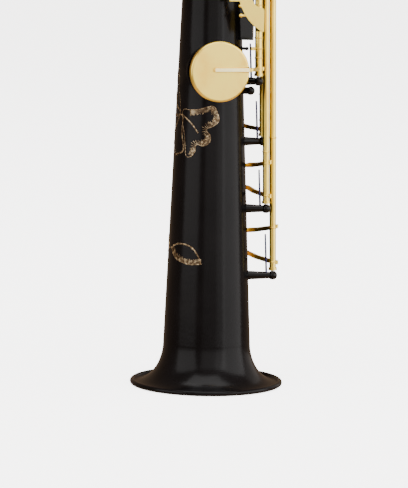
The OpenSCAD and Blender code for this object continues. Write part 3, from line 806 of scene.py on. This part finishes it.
@dataclass
class Resonators:
    """Domed metal resonators with a rivet, one under each large pad."""

    share: float = 0.56
    steps: int = 40
    # The outline as (share of the radius, height in mm), from the axis out and back to it.
    dome: tuple[Point, ...] = ((0, -0.1), (1, -0.1), (1, 0.12), (0.94, 0.3), (0.6, 0.5),
                               (0.2, 0.56), (0.18, 0.9), (0.1, 1.1), (0, 1.15))

    def build(self) -> None:
        """Fixes a resonator on the inner face of each pad."""
        for body, nodes in frame["record"]["behaviour"]["bodies"].items():
            for node in (n for n in nodes if n.endswith("_pad")):
                place, radius, thick = disc_frame(node)
                face = (place @ Matrix.Translation((0, 0, -thick / 2))
                        @ Matrix.Rotation(math.pi, 4, "X"))
                outline = [(radius * self.share * r, h * MM) for r, h in self.dome]
                name = node.replace("_pad", "_resonator")
                mesh = merged(name, [lathe(outline, self.steps, face)])
                keep(new_piece(name, mesh, Looks.SCREW), body)


@dataclass
class Knurls:
    """Ridges round the heads of the thumb screws."""

    ridges: int = 26
    ridge_share: float = 0.09
    clamp_length: float = 4.6 * MM
    clamp_inset: float = 3.95 * MM
    ligature_length: float = 4.0 * MM
    ligature_inset: float = 2.5 * MM

    def ring(self, name: str, radius: float, length: float) -> bpy.types.Mesh:
        """Makes ridges round a circle about the local x axis.

        Args:
            name: The tree's name.
            radius: The head's radius in metres.
            length: The ridges' length in metres.

        Returns:
            The ridges as a mesh round the origin.
        """
        source = bpy.data.objects.new(name, bpy.data.meshes.new(name))
        bpy.context.scene.collection.objects.link(source)
        recipe = Recipe(name, {"Radius": radius, "Ridge length": length})
        circle = recipe.add("GeometryNodeMeshCircle", None,
                            {"Vertices": self.ridges, "Radius": recipe.size("Radius")})
        ridge = recipe.add("GeometryNodeMeshCylinder", None, {
            "Vertices": 6, "Radius": radius * self.ridge_share,
            "Depth": recipe.size("Ridge length")})
        placed = recipe.add("GeometryNodeInstanceOnPoints", None,
                            {"Points": circle, "Instance": ridge})
        turned = recipe.add("GeometryNodeTransform", None,
                            {"Geometry": placed, "Rotation": (0, math.pi / 2, 0)})
        return recipe.run(source, turned, Looks.SCREW)

    def build(self) -> None:
        """Knurls the clamp screw and the two ligature screws."""
        low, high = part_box("clamp_screw")
        mesh = self.ring("clamp_knurl", (high.z - low.z) / 2, self.clamp_length)
        mesh.transform(Matrix.Translation(
            (high.x - self.clamp_inset, (low.y + high.y) / 2, (low.z + high.z) / 2)))
        keep(new_piece("clamp_knurl", mesh, Looks.SCREW, False), "clamp screw")
        low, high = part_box("ligature_screws")
        radius = (high.y - low.y) / 2
        for number, z in enumerate((low.z + radius, high.z - radius)):
            mesh = self.ring("ligature_knurl", radius, self.ligature_length)
            mesh.transform(Matrix.Translation(
                (high.x - self.ligature_inset, (low.y + high.y) / 2, z)))
            piece = new_piece(f"ligature_knurl_{number}", mesh, Looks.SCREW, False)
            keep(piece, "mouthpiece")


@dataclass(frozen=True)
class HingeLine:
    """A hinge tube's line through (x, y, z), its slopes per unit of height, and its rings in mm."""

    body: str
    through: tuple[float, float, float]
    slope: tuple[float, float]
    heights: tuple[float, ...]
    extra: float = 0.0


@dataclass
class HingeRings:
    """Turned rings along the long hinge tubes."""

    tube_r: float = 2.0 * MM
    ring_r: float = 0.42 * MM
    lines: tuple[HingeLine, ...] = (
        HingeLine("low C key", (28.7, -9.0, 190.0), (-0.0160, 0.0010),
                  (198.5, 204.0, 210.5, 229.8, 233.4), 0.2),
        HingeLine("low C sharp key", (32.0, 5.0, 150.0), (-0.0171, 0.0005),
                  (154.7, 160.5, 176.0, 260.0, 340.0, 360.0)),
        HingeLine("low B key", (34.6, -1.5, 111.0), (-0.0171, 0.0005),
                  (115.5, 135.0, 142.0, 250.0, 330.0, 360.0)),
        HingeLine("low B flat key", (39.4, 4.0, 74.0), (-0.0169, 0.0005),
                  (74.6, 95.6, 150.0, 240.0, 320.0, 344.0)))

    def build(self) -> None:
        """Sets the rings of each tube at their heights."""
        for line in self.lines:
            x, y, z = line.through
            name = line.body.replace(" ", "_").replace("_key", "_rings")
            points = bpy.data.meshes.new(name)
            points.from_pydata([(0, 0, h * MM) for h in line.heights], [], [])
            source = bpy.data.objects.new(name, points)
            bpy.context.scene.collection.objects.link(source)
            recipe = Recipe(name, {"Tube radius": self.tube_r + line.extra * MM,
                                   "Ring radius": self.ring_r})
            circle = recipe.add("GeometryNodeCurvePrimitiveCircle", None,
                                {"Resolution": 40, "Radius": recipe.size("Tube radius")})
            section = recipe.add("GeometryNodeCurvePrimitiveCircle", None,
                                 {"Resolution": 12, "Radius": recipe.size("Ring radius")})
            ring = recipe.add("GeometryNodeCurveToMesh", None,
                              {"Curve": circle, "Profile Curve": section})
            placed = recipe.add("GeometryNodeInstanceOnPoints", None,
                                {"Points": recipe.size("Geometry"), "Instance": ring})
            mesh = recipe.run(source, placed, Looks.GOLD)
            for vertex in mesh.vertices:
                vertex.co.x += (x + line.slope[0] * (vertex.co.z / MM - z)) * MM
                vertex.co.y += (y + line.slope[1] * (vertex.co.z / MM - z)) * MM
            keep(new_piece(name, mesh, Looks.GOLD), line.body)


@dataclass
class Spine:
    """The tapered ridge that carries the arm over the low C cup."""

    # Each station is (distance from the cup's middle, half-width, height, half-width of the top)
    # in mm.
    stations: tuple[tuple[float, float, float, float], ...] = (
        (-4.4, 0.5, 0.5, 0.2), (-3.6, 1.5, 2.05, 1.0), (6.5, 1.45, 2.05, 1.0),
        (12.0, 1.45, 1.9, 1.0), (17.4, 1.9, 1.8, 1.2))
    lift: float = 1.2 * MM
    cup_face: float = 1.1 * MM
    root: float = -0.05

    def build(self) -> None:
        """Lays a roof-shaped wedge across the cup's face, highest at its blunt end."""
        place, _, thick = disc_frame("low_c_pad")
        solid = bmesh.new()
        face = thick / 2 + self.cup_face
        rows = []
        for x, wide, tall, top in self.stations:
            corners = ((-wide, self.root), (wide, self.root), (top, tall), (-top, tall))
            rows.append([solid.verts.new(
                place @ Vector((x * MM, y * MM + self.lift, z * MM + face))) for y, z in corners])
        for a, b in zip(rows, rows[1:]):
            for i in range(4):
                solid.faces.new((a[i], a[(i + 1) % 4], b[(i + 1) % 4], b[i]))
        solid.faces.new(rows[0])
        solid.faces.new(rows[-1])
        bmesh.ops.recalc_face_normals(solid, faces=solid.faces)
        mesh = merged("low_c_spine", [solid])
        # The spine wears the paler gold: painted highlight along the ridge.
        keep(new_piece("low_c_spine", mesh, Looks.PAINTED_HIGHLIGHT_RIDGE, False), "low C key")


# ---------------------------------------------------------------- the studio

@dataclass(frozen=True)
class Card:
    """A rectangular softbox that faces the instrument's middle.

    Its bearing is in degrees from the camera towards the right; the rest is in metres.
    """

    name: str
    bearing: float
    height: float
    size: tuple[float, float]
    glow: float
    reach: float = 2.6

    def hang(self, power: float, target: Vector) -> None:
        """Makes the lamp and turns it to the target.

        Args:
            power: The brightness of a card whose glow is 1.
            target: The point that it faces.
        """
        data = bpy.data.lights.new(self.name, "AREA")
        data.shape = "RECTANGLE"
        data.size, data.size_y = self.size
        data.energy = power * self.glow * math.pi * self.size[0] * self.size[1]
        lamp = bpy.data.objects.new(self.name, data)
        turn = math.radians(self.bearing)
        place = Vector((self.reach * math.sin(turn), -self.reach * math.cos(turn), self.height))
        lamp.location = place
        lamp.rotation_euler = (target - place).to_track_quat("-Z", "Y").to_euler()
        bpy.context.scene.collection.objects.link(lamp)


@dataclass
class Studio:
    """The camera, a pale floor and soft lights."""

    distance: float = 1.6
    tilt: float = 6.89
    aim: tuple[float, float] = (-0.00238, 0.0853)
    lens: float = 195.3
    sensor: float = 36.0
    roll: float = 0.85
    reach: float = 40.0
    floor_z: float = -0.4 * MM
    paper_glow: float = 4.4
    dim: float = 0.3
    dim_colour: Colour = (1.0, 0.66, 0.42)
    under: float = 1.3
    below: tuple[float, float] = (-0.35, -0.75)
    white: float = 5.5
    power: float = 2.7
    middle_z: float = 0.2
    cards: tuple[Card, ...] = (
        Card("front", 8.0, 1.1, (2.6, 2.6), 0.50, 3.4),
        Card("front right", 38.0, 0.9, (1.3, 2.4), 0.85, 3.0),
        Card("right", 74.0, 0.7, (3.0, 2.4), 1.2, 2.4),
        Card("right back", 132.0, 0.9, (1.8, 2.0), 0.22),
        Card("left", -54.0, 0.9, (2.6, 2.2), 0.95),
        Card("top", 0.0, 3.0, (2.6, 2.6), 1.6, 0.6))

    def camera(self) -> None:
        """Places the camera a little above the instrument's middle."""
        data = bpy.data.cameras.new("camera")
        data.sensor_fit = "VERTICAL"
        data.sensor_height = self.sensor
        data.lens = self.lens
        eye = bpy.data.objects.new("camera", data)
        bpy.context.scene.collection.objects.link(eye)
        t = math.radians(self.tilt)
        eye.location = (self.aim[0], -self.distance * math.cos(t),
                        self.aim[1] + self.distance * math.sin(t))
        eye.rotation_euler = (Matrix.Rotation(math.radians(90 - self.tilt), 3, "X")
                              @ Matrix.Rotation(math.radians(self.roll), 3, "Z")).to_euler()
        bpy.context.scene.camera = eye

    def floor(self) -> None:
        """Lays a wide white floor that stays out of the reflections."""
        plane = bmesh.new()
        plane.faces.new([plane.verts.new((x * self.reach, y * self.reach, self.floor_z))
                         for x, y in ((-1, -1), (1, -1), (1, 1), (-1, 1))])
        mesh = bpy.data.meshes.new("floor")
        plane.to_mesh(mesh)
        plane.free()
        paper = Graph("white paper floor")
        paper.set(Base_Color=paper.ramp(paper.noise(60.0), (0.3, (0.90, 0.90, 0.90)),
                                        (0.7, (0.94, 0.94, 0.94))),
                  Roughness=0.9, Emission_Color=(1, 1, 1, 1), Emission_Strength=self.paper_glow)
        piece = bpy.data.objects.new("floor", mesh)
        mesh.materials.append(paper.material)
        bpy.context.scene.collection.objects.link(piece)
        piece.visible_glossy = piece.visible_diffuse = False

    def surroundings(self) -> None:
        """Makes the world white to the camera and dim to everything else, less so from below."""
        world = bpy.data.worlds.new("studio")
        world.use_nodes = True
        tree = world.node_tree
        dim = tree.nodes["Background"]
        dim.inputs["Color"].default_value = (*self.dim_colour, 1)
        seen = tree.nodes.new("ShaderNodeTexCoord")
        apart = tree.nodes.new("ShaderNodeSeparateXYZ")
        fade = tree.nodes.new("ShaderNodeMapRange")
        limits = {"From Min": self.below[0], "From Max": self.below[1],
                  "To Min": self.dim, "To Max": self.under}
        for key, value in limits.items():
            fade.inputs[key].default_value = value
        white = tree.nodes.new("ShaderNodeBackground")
        white.inputs["Color"].default_value = (1, 1, 1, 1)
        white.inputs["Strength"].default_value = self.white
        mix = tree.nodes.new("ShaderNodeMixShader")
        path = tree.nodes.new("ShaderNodeLightPath")
        for start, end in ((seen.outputs["Generated"], apart.inputs[0]),
                           (apart.outputs["Z"], fade.inputs["Value"]),
                           (fade.outputs["Result"], dim.inputs["Strength"]),
                           (path.outputs["Is Camera Ray"], mix.inputs[0]),
                           (dim.outputs[0], mix.inputs[1]), (white.outputs[0], mix.inputs[2]),
                           (mix.outputs[0], tree.nodes["World Output"].inputs["Surface"])):
            tree.links.new(start, end)
        bpy.context.scene.world = world

    def build(self) -> None:
        """Sets the camera, the floor, the softboxes and the surroundings."""
        self.camera()
        self.floor()
        for card in self.cards:
            card.hang(self.power, Vector((0, 0, self.middle_z)))
        self.surroundings()


def dress_frame() -> None:
    """Gives every CAD node the finish of its slot."""
    for part in frame["record"]["subparts"]:
        node = frame["nodes"][part["node"]]
        look = SLOT_LOOKS[part["material_slot"]]
        if not node.material_slots:
            node.data.materials.append(look.material)
        for place in node.material_slots:
            place.material = look.material
        LOG.info("%s wears %s", part["node"], look.value.name)


def main() -> None:
    """Builds the studio and dresses the instrument, piece by piece."""
    logging.basicConfig(level=logging.INFO, format="%(message)s")
    Studio().build()
    dress_frame()
    for assembly in (Foliage(), Pearls(), Resonators(), Knurls(), HingeRings(), Spine()):
        assembly.build()


if __name__ == "__main__":
    main()
